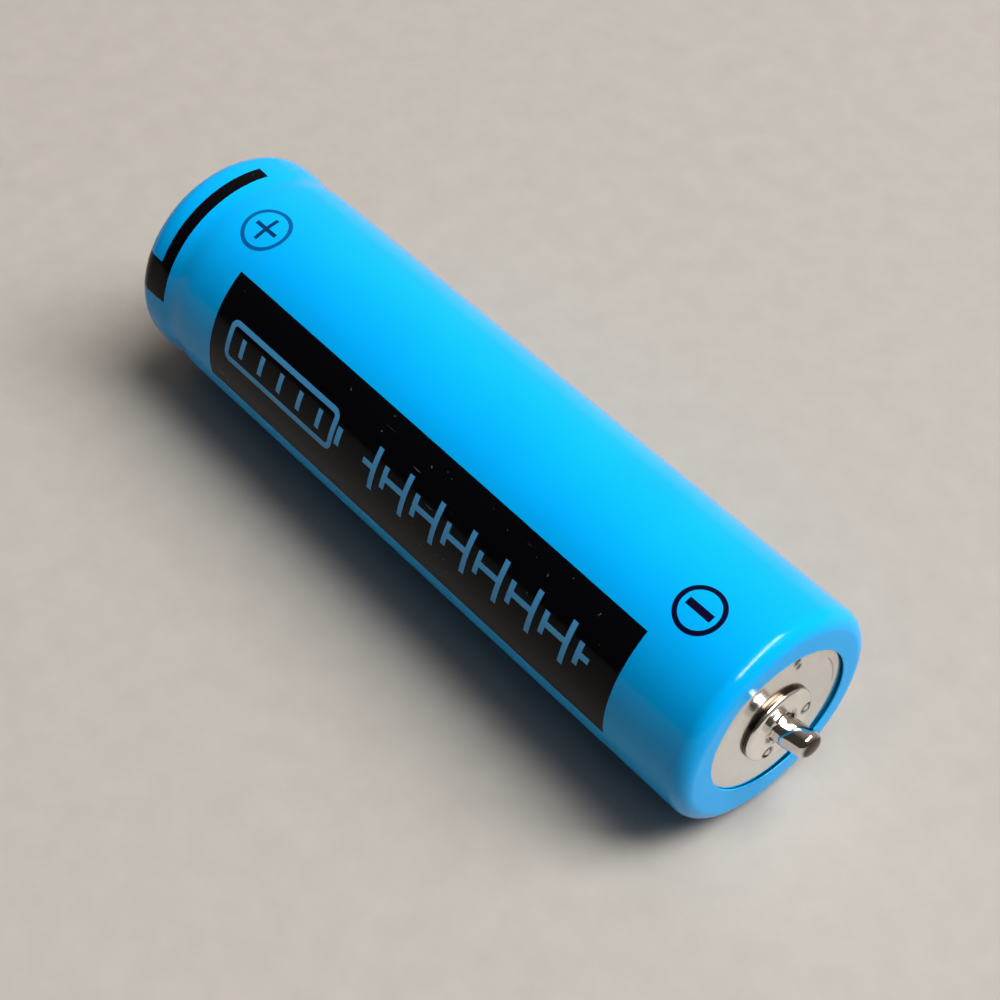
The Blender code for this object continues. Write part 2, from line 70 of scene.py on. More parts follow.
CAP_TOP = -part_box("positive_cap")[0].x / MM
CAP_UNDER = -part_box("positive_cap")[1].x / MM
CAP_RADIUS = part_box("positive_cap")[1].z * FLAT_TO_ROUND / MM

# The sleeve's own shape, in millimetres. Corners and mouths are keyed by the end's side, 1 or -1, and a
# mouth's waves are (how many round it, height, turn in radians)
SLEEVE_WALL = 0.10
SLEEVE_CORNERS = {1: 1.0, -1: 1.4}
MOUTH_RADIUS = 5.0
MOUTH_WAVES = {1: ((1, 0.15, math.radians(25)), (2, 0.22, math.radians(-70))),
               -1: ((1, 0.08, 3.5), (2, 0.10, -1.0))}
TUCK_DEGREES = 126
TUCK_SPREAD_DEGREES = 15
TUCK_DEPTH = 0.20
BEAD_FROM_END = 3.7
BEAD_DIP = 0.13
BEAD_WIDTH = 0.85
PUCKER_HEIGHT = 0.004
PUCKER_REACH = 1.6
WAVE_HEIGHT = 0.006
SEAM_DEGREES = -90
AROUND = 144
GIRTH = 2 * math.pi * RADIUS

# The can, in millimetres. Places on an end are (degrees, radius), and a dark spot of painted shade at the
# nick also has a size
CAN_WALL = 0.20
CAN_BEAD_DEPTH = 0.6
CRIMP_LIP = 1.6
SEAT_GAP = 0.02
RIM_DIP_RADIUS = 5.15
# Dark spots of painted shade at the nick, standing in for the shadow in its dent
NICK_SHADE_SPOTS = ((76.0, 4.46, 0.36), (72.0, 4.00, 0.27))
NICK_DENT = (74, 4.45)
LINE_DEGREES = 15
LINE_RADIUS = 4.43

# The other end parts, in millimetres
PLATE_EDGE = 0.26
WELD_PLACES = ((-3.5, 1.98), (-113.8, 1.90))
WELD_RADIUS = 0.30
PIN_RADIUS = 0.9
PIN_LEAN = 0.15
PIN_LEAN_FROM = 0.2
WASHER_HOLE = 4.2
CAP_THICKNESS = 0.30
CAP_FOOT_RADIUS = 4.28
CAP_TOP_RADIUS = 3.58
VENT_RADIUS = 0.22
VENT_COUNT = 4

# The film's gloss
FILM_ROUGHNESS = 0.09

# The print: (along, degrees) places and stroke widths in millimetres
BAND_ALONG = (-16.92, 18.90)
BAND_TOP_DEGREES = (124.9, 126.5)
BAND_LOW_DEGREES = 186.7
ROW_DEGREES = (144.0, 167.3)
STROKE = 0.38


def add_object(name, mesh):
    obj = bpy.data.objects.new(name, mesh)
    bpy.context.scene.collection.objects.link(obj)
    return obj


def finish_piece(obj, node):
    """Rides a piece on the cell's one body, in place of a CAD node."""
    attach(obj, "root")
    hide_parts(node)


# ---------------------------------------------------------------- materials

def new_material(name, colour, roughness, metallic=0.0):
    material = bpy.data.materials.new(name)
    material.use_nodes = True
    shader = material.node_tree.nodes["Principled BSDF"]
    shader.inputs["Base Color"].default_value = (*colour, 1.0)
    shader.inputs["Roughness"].default_value = roughness
    shader.inputs["Metallic"].default_value = metallic
    return material


def add_node(material, kind, settings=None, **inputs):
    """A shader node with its settings and the values of its named inputs."""
    made = material.node_tree.nodes.new(kind)
    for key, value in (settings or {}).items():
        setattr(made, key, value)
    for key, value in inputs.items():
        made.inputs[key.replace("_", " ")].default_value = value
    return made


def link(material, output, target):
    material.node_tree.links.new(output, target)


def shader_input(material, name):
    return material.node_tree.nodes["Principled BSDF"].inputs[name]


def feed(material, output, name):
    """Links an output to one of the shader's inputs."""
    link(material, output, shader_input(material, name))


def place_in_cell(material, stretch=(1, 1, 1)):
    """The place in the cell that a pattern is drawn from, stretched along its axes."""
    place = add_node(material, "ShaderNodeTexCoord")
    mapping = add_node(material, "ShaderNodeMapping", Scale=stretch)
    link(material, place.outputs["Object"], mapping.inputs["Vector"])
    return mapping.outputs["Vector"]


def cloud(material, size, detail=3.0, stretch=(1, 1, 1)):
    """A soft noise whose blotches are about size millimetres across."""
    noise = add_node(material, "ShaderNodeTexNoise", Scale=1 / (size * MM), Detail=detail)
    link(material, place_in_cell(material, stretch), noise.inputs["Vector"])
    return noise.outputs["Fac"]


def spread(material, factor, low, high, from_low=0.3, from_high=0.7):
    """A noise's middle range stretched over low to high."""
    ramp = add_node(material, "ShaderNodeMapRange")
    ramp.inputs["From Min"].default_value = from_low
    ramp.inputs["From Max"].default_value = from_high
    ramp.inputs["To Min"].default_value = low
    ramp.inputs["To Max"].default_value = high
    link(material, factor, ramp.inputs["Value"])
    return ramp.outputs["Result"]


def blend_colours(material, factor, first, second):
    """A colour between two, each a colour or another node's output."""
    mix = add_node(material, "ShaderNodeMix", {"data_type": "RGBA"})
    link(material, factor, mix.inputs["Factor"])
    for colour, index in ((first, 6), (second, 7)):
        if isinstance(colour, tuple):
            mix.inputs[index].default_value = (*colour, 1.0)
        else:
            link(material, colour, mix.inputs[index])
    return mix.outputs[2]


def add_bump(material, heights):
    """Chains (factor, millimetres high) patterns into the surface's normal."""
    normal = None
    for factor, height in heights:
        bump = add_node(material, "ShaderNodeBump", Strength=1.0, Distance=height * MM)
        link(material, factor, bump.inputs["Height"])
        if normal is not None:
            link(material, normal, bump.inputs["Normal"])
        normal = bump.outputs["Normal"]
    feed(material, normal, "Normal")


def stain(material, mask, colour):
    """Turns a material's own colour to another where a mask is high."""
    base = shader_input(material, "Base Color").links[0].from_socket
    feed(material, blend_colours(material, mask, base, colour), "Base Color")


def film_material(name, colour, deep_colour, shine=0.15):
    """Glossy shrink film: ink of slightly uneven depth under a surface with a faint orange peel."""
    material = new_material(name, colour, FILM_ROUGHNESS)
    shader_input(material, "Specular IOR Level").default_value = shine
    patches = spread(material, cloud(material, 6.0, detail=2.0), 0.0, 1.0)
    feed(material, blend_colours(material, patches, colour, deep_colour), "Base Color")
    gloss = spread(material, cloud(material, 1.6), FILM_ROUGHNESS - 0.02, FILM_ROUGHNESS + 0.05)
    feed(material, gloss, "Roughness")
    peel = cloud(material, 0.45, detail=2.0)
    waves = cloud(material, 3.5, detail=1.0)
    add_bump(material, [(peel, 0.0005), (waves, 0.004)])
    return material


def worn_ink(name, colour, deep_colour):
    """Black ink with dust specks and a few short scratches that show grey."""
    material = film_material(name, colour, deep_colour, shine=0.09)
    specks = spread(material, cloud(material, 0.30, detail=1.0), 0.0, 1.0, 0.768, 0.80)
    stain(material, specks, (0.10, 0.105, 0.115))
    lines = cloud(material, 0.22, detail=1.0, stretch=(0.10, 1, 1))
    stain(material, spread(material, lines, 0.0, 1.0, 0.775, 0.80), (0.09, 0.095, 0.105))
    return material


def radius_from_axis(material):
    """How far a point is from the cell's axis, in metres."""
    place = add_node(material, "ShaderNodeTexCoord")
    flat = add_node(material, "ShaderNodeVectorMath", {"operation": "MULTIPLY"})
    flat.inputs[1].default_value = (0, 1, 1)
    length = add_node(material, "ShaderNodeVectorMath", {"operation": "LENGTH"})
    link(material, place.outputs["Object"], flat.inputs[0])
    link(material, flat.outputs["Vector"], length.inputs[0])
    return length.outputs["Value"]


def turned_rings(material, size):
    """Fine concentric lines about the cell's axis, as pressing or drawing leaves them."""
    noise = add_node(material, "ShaderNodeTexNoise", {"noise_dimensions": "1D"}, Scale=1 / (size * MM),
                     Detail=2.0)
    link(material, radius_from_axis(material), noise.inputs["W"])
    return noise.outputs["Fac"]


def metal_material(name, colour, warm_colour, roughness, ring_size=0.12, ring_height=0.0006, smudge=0.10,
                   grain=0.0015):
    """Plated metal with smudges, faint warm blotches and fine pressing lines."""
    material = new_material(name, colour, roughness, metallic=1.0)
    blotches = spread(material, cloud(material, 1.1), 0.0, 1.0)
    feed(material, blend_colours(material, blotches, colour, warm_colour), "Base Color")
    dull = spread(material, cloud(material, 0.55, detail=5.0), roughness - smudge / 2, roughness + smudge)
    feed(material, dull, "Roughness")
    add_bump(material, [(turned_rings(material, ring_size), ring_height),
                        (cloud(material, 0.35, detail=4.0), grain)])
    return material


def end_place(degrees, radius):
    """The y and z, in millimetres, of a place on an end of the cell."""
    turn = math.radians(degrees)
    return radius * math.cos(turn), radius * math.sin(turn)


def distance_to(material, y, z):
    """How far a point is, in metres, from the line along the cell at y and z millimetres."""
    place = add_node(material, "ShaderNodeTexCoord")
    flat = add_node(material, "ShaderNodeVectorMath", {"operation": "MULTIPLY"})
    flat.inputs[1].default_value = (0, 1, 1)
    gap = add_node(material, "ShaderNodeVectorMath", {"operation": "DISTANCE"})
    gap.inputs[1].default_value = (0, y * MM, z * MM)
    link(material, place.outputs["Object"], flat.inputs[0])
    link(material, flat.outputs["Vector"], gap.inputs[0])
    return gap.outputs["Value"]


def hump(material, distance, middle, width):
    """1 at a distance in millimetres, falling to 0 within width on either side of it."""
    off = add_node(material, "ShaderNodeMath", {"operation": "SUBTRACT"})
    off.inputs[1].default_value = middle * MM
    size = add_node(material, "ShaderNodeMath", {"operation": "ABSOLUTE"})
    link(material, distance, off.inputs[0])
    link(material, off.outputs["Value"], size.inputs[0])
    return spread(material, size.outputs["Value"], 1.0, 0.0, 0.0, width * MM)


def product(material, first, second):
    multiply = add_node(material, "ShaderNodeMath", {"operation": "MULTIPLY"})
    link(material, first, multiply.inputs[0])
    link(material, second, multiply.inputs[1])
    return multiply.outputs["Value"]


def can_material():
    """Nickel-plated steel, with painted shade at the bottom's rim, in two spots at a nick and along part of
    a pressed line.
    """
    material = metal_material("can_nickel", (0.80, 0.78, 0.75), (0.75, 0.725, 0.685), 0.14,
                              ring_height=0.0003, smudge=0.06, grain=0.0005)
    # Painted shade and darker reflection, browner towards the bottom's rim where it dips under the sleeve's
    # lip
    rim = spread(material, radius_from_axis(material), 0.0, 0.5, 4.5 * MM, 5.2 * MM)
    stain(material, rim, (0.50, 0.41, 0.35))
    # Painted shade: near-black spots at the nick
    for degrees, radius, size in NICK_SHADE_SPOTS:
        gap = distance_to(material, *end_place(degrees, radius))
        spot = spread(material, gap, 1.0, 0.0, 0.5 * size * MM, size * MM)
        uneven = spread(material, cloud(material, 0.14, detail=3.0), 0.6, 1.0, 0.35, 0.50)
        stain(material, product(material, spot, uneven), (0.05, 0.038, 0.03))
    # Painted shade along part of the pressed line's groove
    gap = distance_to(material, *end_place(LINE_DEGREES, LINE_RADIUS))
    stretch = spread(material, gap, 1.0, 0.0, 1.2 * MM, 1.6 * MM)
    line = product(material, hump(material, radius_from_axis(material), LINE_RADIUS, 0.09), stretch)
    stain(material, line, (0.34, 0.31, 0.27))
    return material


def plate_material():
    """Nickel strip, burnt brown round each spot weld and the pin's foot, with painted shade on the wall of
    its edge.
    """
    material = metal_material("plate_nickel", (0.92, 0.90, 0.85), (0.84, 0.81, 0.74), 0.13, ring_size=0.2)
    for place in WELD_PLACES:
        gap = distance_to(material, *end_place(*place))
        stain(material, hump(material, gap, WELD_RADIUS, 0.20), (0.07, 0.05, 0.035))
    foot = hump(material, radius_from_axis(material), 1.0, 0.34)
    uneven = spread(material, cloud(material, 0.30, detail=4.0), 0.0, 1.0, 0.38, 0.62)
    stain(material, product(material, foot, uneven), (0.13, 0.09, 0.06))
    # Painted shade and dark reflection on the wall of the plate's edge
    wall_shade = spread(material, radius_from_axis(material), 0.0, 1.0, (PLATE_RADIUS - 0.012) * MM,
                     (PLATE_RADIUS - 0.003) * MM)
    stain(material, wall_shade, (0.09, 0.065, 0.05))
    return material


def pin_material():
    """Bright nickel, with a painted dark reflection on the end of its tip."""
    material = metal_material("pin_nickel", (0.80, 0.79, 0.77), (0.72, 0.70, 0.67), 0.06, smudge=0.05)
    tip_shift = (PIN_TIP - PLATE_TOP - PIN_LEAN_FROM) * PIN_LEAN
    # Painted dark reflection of the room on the tip's end
    tip_dark_reflection = spread(material, distance_to(material, tip_shift, 0), 1.0, 0.0, 0.64 * MM, 0.80 * MM)
    stain(material, tip_dark_reflection, (0.09, 0.068, 0.055))
    return material


def sheet_material(name, colour, second, roughness, grain, height, metallic=0.0, stretch=(1, 1, 1)):
    """A coated, rolled or fibrous sheet: a grain of the given size in its colour and its surface."""
    material = new_material(name, colour, roughness, metallic)
    tone = spread(material, cloud(material, grain, detail=6.0, stretch=stretch), 0.0, 1.0)
    feed(material, blend_colours(material, tone, colour, second), "Base Color")
    feed(material, spread(material, tone, roughness - 0.06, roughness + 0.06, 0.0, 1.0), "Roughness")
    add_bump(material, [(tone, height)])
    return material


# ---------------------------------------------------------------- print outlines

def on_sleeve(along, degrees):
    """A place on the sleeve laid out flat: along the profile, and round from the seam."""
    return (along, math.radians((degrees - SEAM_DEGREES) % 360) * RADIUS)


def box_outline(centre, length, height):
    """A rectangle on the flat layout, with its corners in order."""
    return [(centre[0] + across * length / 2, centre[1] + up * height / 2)
            for across, up in ((-1, -1), (1, -1), (1, 1), (-1, 1))]


def round_outline(centre, radius, count=56):
    points = []
    for index in range(count):
        angle = 2 * math.pi * index / count
        points.append((centre[0] + radius * math.cos(angle), centre[1] + radius * math.sin(angle)))
    return points


def rounded_box_outline(centre, length, height, radius, steps=5):
    points = []
    for quarter, (side, up) in enumerate(((1, 1), (-1, 1), (-1, -1), (1, -1))):
        for step in range(steps + 1):
            angle = math.pi / 2 * (quarter + step / steps)
            points.append((centre[0] + side * (length / 2 - radius) + radius * math.cos(angle),
                           centre[1] + up * (height / 2 - radius) + radius * math.sin(angle)))
    return points


def band_marks():
    """The black band."""
    start, end = BAND_ALONG
    return [("black", [on_sleeve(start, BAND_TOP_DEGREES[0]), on_sleeve(end, BAND_TOP_DEGREES[1]),
                       on_sleeve(end, BAND_LOW_DEGREES), on_sleeve(start, BAND_LOW_DEGREES)], None)]


def row_marks():
    """A generic row on the band: a battery outline with charge bars, then cells drawn in series."""
    top = on_sleeve(0, ROW_DEGREES[0])[1]
    bottom = on_sleeve(0, ROW_DEGREES[1])[1]
    middle = (top + bottom) / 2
    height = bottom - top
    marks = []
    outline_start = -15.5
    outline_end = -5.0
    outline_corner = 0.6
    tip_length = 0.42
    centre = ((outline_start + outline_end) / 2, middle)
    length = outline_end - outline_start
    inner_size = (length - 2 * STROKE, height - 2 * STROKE)
    marks.append(("sky", rounded_box_outline(centre, length, height, outline_corner),
                  rounded_box_outline(centre, *inner_size, outline_corner - STROKE)))
    marks.append(("sky", box_outline((outline_end + STROKE, middle), tip_length, height * 0.42), None))
    bar_count = 5
    for index in range(bar_count):
        place = outline_start + length * (index + 0.8) / (bar_count + 0.6)
        marks.append(("sky", box_outline((place, middle), STROKE, height - 4.2 * STROKE), None))
    cell_count = 7
    row_start = -2.3
    row_end = 16.9
    pitch = (row_end - row_start) / cell_count
    for index in range(cell_count):
        start = row_start + index * pitch
        long_plate = start + pitch * 0.36
        short_plate = start + pitch * 0.70
        lead_starts = ((start, long_plate), (short_plate, start + pitch))
        for first, last in lead_starts:
            marks.append(("sky", box_outline(((first + last) / 2, middle), last - first, STROKE), None))
        marks.append(("sky", box_outline((long_plate, middle), STROKE, height), None))
        marks.append(("sky", box_outline((short_plate, middle), STROKE, height * 0.52), None))
    return marks


def sign_marks():
    """The plus and minus signs, each in a ring."""
    plus = on_sleeve(-17.91, 100.9)
    minus = on_sleeve(20.23, 105.2)
    return [
        ("pale_navy", round_outline(plus, 1.65), round_outline(plus, 1.38)),
        ("ink_blue", box_outline(plus, 1.85, 0.27), None),
        ("ink_blue", box_outline(plus, 0.27, 1.85), None),
        ("navy", round_outline(minus, 1.50), round_outline(minus, 1.20)),
        ("navy", box_outline(minus, 1.78, 0.47), None),
    ]


def end_marks():
    """The black strip round the positive end, and the block at its lower end that runs over the corner."""
    strip_start = on_sleeve(-22.82, 75.5)
    strip_end = on_sleeve(-21.92, 150.0)
    block_start = on_sleeve(-25.0, 148.5)
    block_end = on_sleeve(-21.92, 168.5)
    marks = []
    for start, end in ((strip_start, strip_end), (block_start, block_end)):
        centre = ((start[0] + end[0]) / 2, (start[1] + end[1]) / 2)
        marks.append(("black", box_outline(centre, end[0] - start[0], end[1] - start[1]), None))
    return marks


# ---------------------------------------------------------------- the sleeve

def bell(value, middle, width):
    """A smooth hump: 1 at the middle, and nearly 0 two widths away from it."""
    return math.exp(-((value - middle) / width) ** 2)


def wrapped(angle):
    """The same angle between -pi and pi."""
    return (angle + math.pi) % (2 * math.pi) - math.pi


def relief(along, angle):
    """How far the film stands out from its plain shape: the bead's dip, and faint shrink waves."""
    dip = BEAD_DIP * bell(along, BEAD_FROM_END - HALF_LENGTH, BEAD_WIDTH)
    pucker = PUCKER_HEIGHT * bell(abs(along), HALF_LENGTH, PUCKER_REACH)
    puckers = pucker * (math.sin(7 * angle + along) + math.sin(12 * angle + 2))
    waves = WAVE_HEIGHT * math.sin(0.35 * along + 2 * angle) * math.cos(3 * angle)
    return puckers + waves - dip


def side_of(distance):
    return 1 if distance > 0 else -1


def straight_length(side):
    """How far from the middle the sleeve stays straight."""
    return HALF_LENGTH - SLEEVE_CORNERS[side]


def corner_length(side):
    return SLEEVE_CORNERS[side] * math.pi / 2


def lip_length(side):
    return RADIUS - SLEEVE_CORNERS[side] - MOUTH_RADIUS


def profile_end(side):
    """How long the sleeve's profile is, from its middle to the mouth's edge."""
    return straight_length(side) + corner_length(side) + lip_length(side)


def mouth_radius(side, angle):
    """The mouth's edge, which isn't quite round because the film shrinks unevenly."""
    radius = MOUTH_RADIUS
    for count, height, turn in MOUTH_WAVES[side]:
        radius += height * math.cos(count * angle - turn)
    if side > 0:
        from_tuck = wrapped(angle - math.radians(TUCK_DEGREES))
        radius += TUCK_DEPTH * bell(from_tuck, 0, math.radians(TUCK_SPREAD_DEGREES))
    return radius


def sleeve_base(distance, angle):
    """The point and outward direction of the plain sleeve, distance along its profile from the middle."""
    side = side_of(distance)
    corner = SLEEVE_CORNERS[side]
    past = abs(distance) - straight_length(side)
    lean = 0.0
    along = distance
    radius = RADIUS
    if past > 0:
        lean = min(past / corner, math.pi / 2)
        along = side * (straight_length(side) + corner * math.sin(lean))
        radius = RADIUS - corner + corner * math.cos(lean)
    flat = past - corner_length(side)
    if flat > 0:
        radius -= flat * (RADIUS - corner - mouth_radius(side, angle)) / lip_length(side)
    point = Vector((along, radius * math.cos(angle), radius * math.sin(angle)))
    outward = Vector((side * math.sin(lean), math.cos(lean) * math.cos(angle),
                      math.cos(lean) * math.sin(angle)))
    return point, outward


def sleeve_point(distance, angle, depth=0.0):
    point, outward = sleeve_base(distance, angle)
    return point + outward * (relief(distance, angle) - depth)


def sleeve_normal(distance, angle):
    step = 0.01
    along = sleeve_point(distance + step, angle) - sleeve_point(distance - step, angle)
    around = sleeve_point(distance, angle + step) - sleeve_point(distance, angle - step)
    return around.cross(along).normalized()


def profile_rows():
    """Distances along the profile where the sleeve has a row of points: close together where it bends."""
    straight_steps = 48
    bead_steps = 20
    bead_reach = 2
    corner_steps = 12
    lip_steps = 5
    closest = 0.06
    rows = set()
    for step in range(-straight_steps, straight_steps + 1):
        rows.add(round(straight_length(side_of(step)) * step / straight_steps, 4))
    bead = BEAD_FROM_END - HALF_LENGTH
    for step in range(bead_steps + 1):
        rows.add(round(bead - bead_reach + 2 * bead_reach * step / bead_steps, 4))
    for side in (-1, 1):
        corner_start = straight_length(side)
        lip_start = corner_start + corner_length(side)
        for step in range(1, corner_steps + 1):
            rows.add(round(side * (corner_start + corner_length(side) * step / corner_steps), 4))
        for step in range(1, lip_steps + 1):
            rows.add(round(side * (lip_start + lip_length(side) * step / lip_steps), 4))
    kept = []
    for row in sorted(rows):
        if not kept or row - kept[-1] > closest:
            kept.append(row)
    kept[0] = -profile_end(-1)
    kept[-1] = profile_end(1)
    return kept


def fine_outline(outline, step=0.3):
    """The same outline with more points along its edges, so that they bend with the sleeve."""
    points = []
    for start, end in zip(outline, outline[1:] + outline[:1]):
        count = max(1, math.ceil(math.dist(start, end) / step))
        for index in range(count):
            share = index / count
            points.append((start[0] + (end[0] - start[0]) * share, start[1] + (end[1] - start[1]) * share))
    return points


def near_print(points, outlines, margin):
    """Which grid points lie within margin of a print edge, where they would make slivers."""
    near = np.zeros(len(points), bool)
    for outline in outlines:
        corners = np.array(outline)
        low = corners.min(0) - margin
        high = corners.max(0) + margin
        close = np.nonzero(((points > low) & (points < high)).all(1))[0]
        if not len(close):
            continue
        candidates = points[close]
        for start, end in zip(corners, np.roll(corners, -1, axis=0)):
            run = end - start
            share = (((candidates - start) @ run) / (run @ run)).clip(0, 1)
            gap = np.linalg.norm(candidates - start - share[:, None] * run, axis=1)
            near[close[gap < margin]] = True
    return near


def inside(point, outline):
    """Whether a point of the flat layout is inside an outline."""
    x, y = point
    hit = False
    for (x1, y1), (x2, y2) in zip(outline, outline[1:] + outline[:1]):
        if (y1 > y) != (y2 > y) and x < (x2 - x1) * (y - y1) / (y2 - y1) + x1:
            hit = not hit
    return hit


def ink_of(point, marks, boxes):
    """The ink that covers a point: the last mark that holds it."""
    ink = "blue"
    for (name, outline, hole), (low, high) in zip(marks, boxes):
        if low[0] <= point[0] <= high[0] and low[1] <= point[1] <= high[1]:
            if inside(point, outline) and not (hole and inside(point, hole)):
                ink = name
    return ink


def lay_out_print(rows, marks):
    """Flat triangles of the outer film, cut along every print edge: points, faces and each face's ink."""
    outlines = [outline for _, outline, _ in marks] + [hole for _, _, hole in marks if hole]
    outlines = [fine_outline(outline) for outline in outlines]
    columns = [GIRTH * index / AROUND for index in range(AROUND + 1)]
    grid = np.array([(row, column) for row in rows for column in columns])
    on_edge = np.isin(grid[:, 0], (rows[0], rows[-1])) | np.isin(grid[:, 1], (columns[0], columns[-1]))
    keep = on_edge | ~near_print(grid, outlines, margin=0.07)
    points = [Vector(point) for point in grid[keep]]
    edges = []
    for outline in outlines:
        first = len(points)
        points += [Vector(point) for point in outline]
        count = len(outline)
        edges += [(first + index, first + (index + 1) % count) for index in range(count)]
    points, _, faces, _, _, _ = delaunay_2d_cdt(points, edges, [], 0, 1e-5)
    boxes = [(np.min(outline, axis=0), np.max(outline, axis=0)) for _, outline, _ in marks]
    inks = []
    for face in faces:
        middle = sum((points[index] for index in face), Vector((0, 0))) / len(face)
        inks.append(ink_of(middle, marks, boxes))
    return points, faces, inks


def make_sleeve():
    """The shrink sleeve: its printed outer film, rounded lips and inner face, as one closed piece."""
    rows = profile_rows()
    marks = band_marks() + row_marks() + sign_marks() + end_marks()
    flat_points, faces, face_inks = lay_out_print(rows, marks)
    inks = ["blue", "black", "sky", "navy", "pale_navy", "ink_blue"]
    bm = bmesh.new()
    seam = {}
    verts = []
    normals = {}
    lips = {-1: {}, 1: {}}
    for flat in flat_points:
        angle = flat.y / RADIUS + math.radians(SEAM_DEGREES)
        on_seam = flat.y < 1e-4 or flat.y > GIRTH - 1e-4
        key = round(flat.x, 3)
        if on_seam and key in seam:
            verts.append(seam[key])
            continue
        vert = bm.verts.new(sleeve_point(flat.x, angle) * MM)
        normals[vert] = sleeve_normal(flat.x, angle)
        verts.append(vert)
        if on_seam:
            seam[key] = vert
        if flat.x < rows[0] + 1e-4 or flat.x > rows[-1] - 1e-4:
            column = round(flat.y / GIRTH * AROUND) % AROUND
            lips[side_of(flat.x)][column] = vert
    for face, ink in zip(faces, face_inks):
        made = bm.faces.new([verts[index] for index in reversed(face)])
        made.material_index = inks.index(ink)
    bmesh.ops.join_triangles(bm, faces=bm.faces[:], cmp_materials=True, angle_face_threshold=0.1,
                             angle_shape_threshold=0.2)
    add_inner_film(bm, rows, lips, normals)
    bm.verts.index_update()
    ordered = [normals[vert] for vert in bm.verts]
    mesh = bpy.data.meshes.new("printed_sleeve")
    bm.to_mesh(mesh)
    bm.free()
    for name in inks:
        mesh.materials.append(INKS[name])
    mesh.shade_smooth()
    mesh.normals_split_custom_set_from_vertices(ordered)
    sleeve = add_object("printed_sleeve", mesh)
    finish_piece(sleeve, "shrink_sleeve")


def inner_rings(rows):
    """The film's inside from mouth to mouth, as rings: distance along the profile, depth and edge's turn."""
    bead_side = -HALF_LENGTH + 6
    bends = [row for row in rows[1:-1] if abs(row) > straight_length(side_of(row)) or row < bead_side]
    inner_rows = sorted({rows[0], *bends, -10.0, 0.0, 10.0, rows[-1]})
    half = SLEEVE_WALL / 2
    edge = []
    for step in (1, 2, 3):
        turn = math.pi * step / 4
        edge.append((half * math.sin(turn), half - half * math.cos(turn), turn))
    rings = [(rows[0] - past, depth, turn) for past, depth, turn in edge]
    rings += [(row, SLEEVE_WALL, math.pi) for row in inner_rows]
    rings += [(rows[-1] + past, depth, turn) for past, depth, turn in reversed(edge)]
    return rings


def add_inner_film(bm, rows, lips, normals):
    """The rounded edge of each mouth, and the inner face that joins one mouth to the other."""
    loops = [[lips[-1][column] for column in range(AROUND)]]
    for distance, depth, turn in inner_rings(rows):
        loop = []
        for column in range(AROUND):
            angle = 2 * math.pi * column / AROUND + math.radians(SEAM_DEGREES)
            vert = bm.verts.new(sleeve_point(distance, angle, depth) * MM)
            outward = sleeve_normal(distance, angle)
            inward = Vector((0, -math.cos(angle), -math.sin(angle)))
            if turn < math.pi:
                normals[vert] = outward * math.cos(turn) + inward * math.sin(turn)
            else:
                normals[vert] = -outward
            loop.append(vert)
        loops.append(loop)
    loops.append([lips[1][column] for column in range(AROUND)])
    for first, second in zip(loops, loops[1:]):
        for column in range(AROUND):
            after = (column + 1) % AROUND
            bm.faces.new((first[column], second[column], second[after], first[after]))


# ---------------------------------------------------------------- turned metal

def turned_mesh(name, profile, around, shape=None):
    """A closed body turned about the cell's axis from (along, radius) points, shaped by a function."""
    bm = bmesh.new()
    loops = []
    for along, radius in profile:
        if radius == 0:
            loops.append([bm.verts.new(shape_point(along, 0, 0, shape))])
            continue
        loops.append([bm.verts.new(shape_point(along, radius, 2 * math.pi * step / around, shape))
                      for step in range(around)])
    pairs = list(zip(loops, loops[1:]))
    if len(loops[0]) > 1:
        pairs.append((loops[-1], loops[0]))
    for first, second in pairs:
        for step in range(around):
            after = (step + 1) % around
            corners = [first[step % len(first)], first[after % len(first)],
                       second[after % len(second)], second[step % len(second)]]
            unique = list(dict.fromkeys(corners))
            if len(unique) > 2:
                bm.faces.new(unique)
    bmesh.ops.recalc_face_normals(bm, faces=bm.faces[:])
    mesh = bpy.data.meshes.new(name)
    bm.to_mesh(mesh)
    bm.free()
    mesh.shade_smooth()
    mesh.set_sharp_from_angle(angle=math.radians(40))
    return mesh


def shape_point(along, radius, angle, shape):
    if shape is not None:
        along, radius = shape(along, radius, angle)
    return Vector((along, radius * math.cos(angle), radius * math.sin(angle))) * MM


def arc(centre_along, centre_radius, radius, start, end, steps=5):
    """Points (along, radius) on a corner, from start to end degrees measured from the axis outwards."""
    points = []
    for step in range(steps + 1):
        angle = math.radians(start + (end - start) * step / steps)
        points.append((centre_along + radius * math.cos(angle), centre_radius + radius * math.sin(angle)))
    return points


def radial(along, start, end, steps):
    """Points on a flat face, from one radius to another."""
    return [(along, start + (end - start) * step / steps) for step in range(steps + 1)]


def bead_groove(centre, half_foot, half_floor, radius):
    """The bead's groove in a wall of the given radius, from its negative side to its positive side."""
    floor = radius - CAN_BEAD_DEPTH
    return [(centre + half_foot, radius), (centre + half_floor, floor), (centre - half_floor, floor),
            (centre - half_foot, radius)]


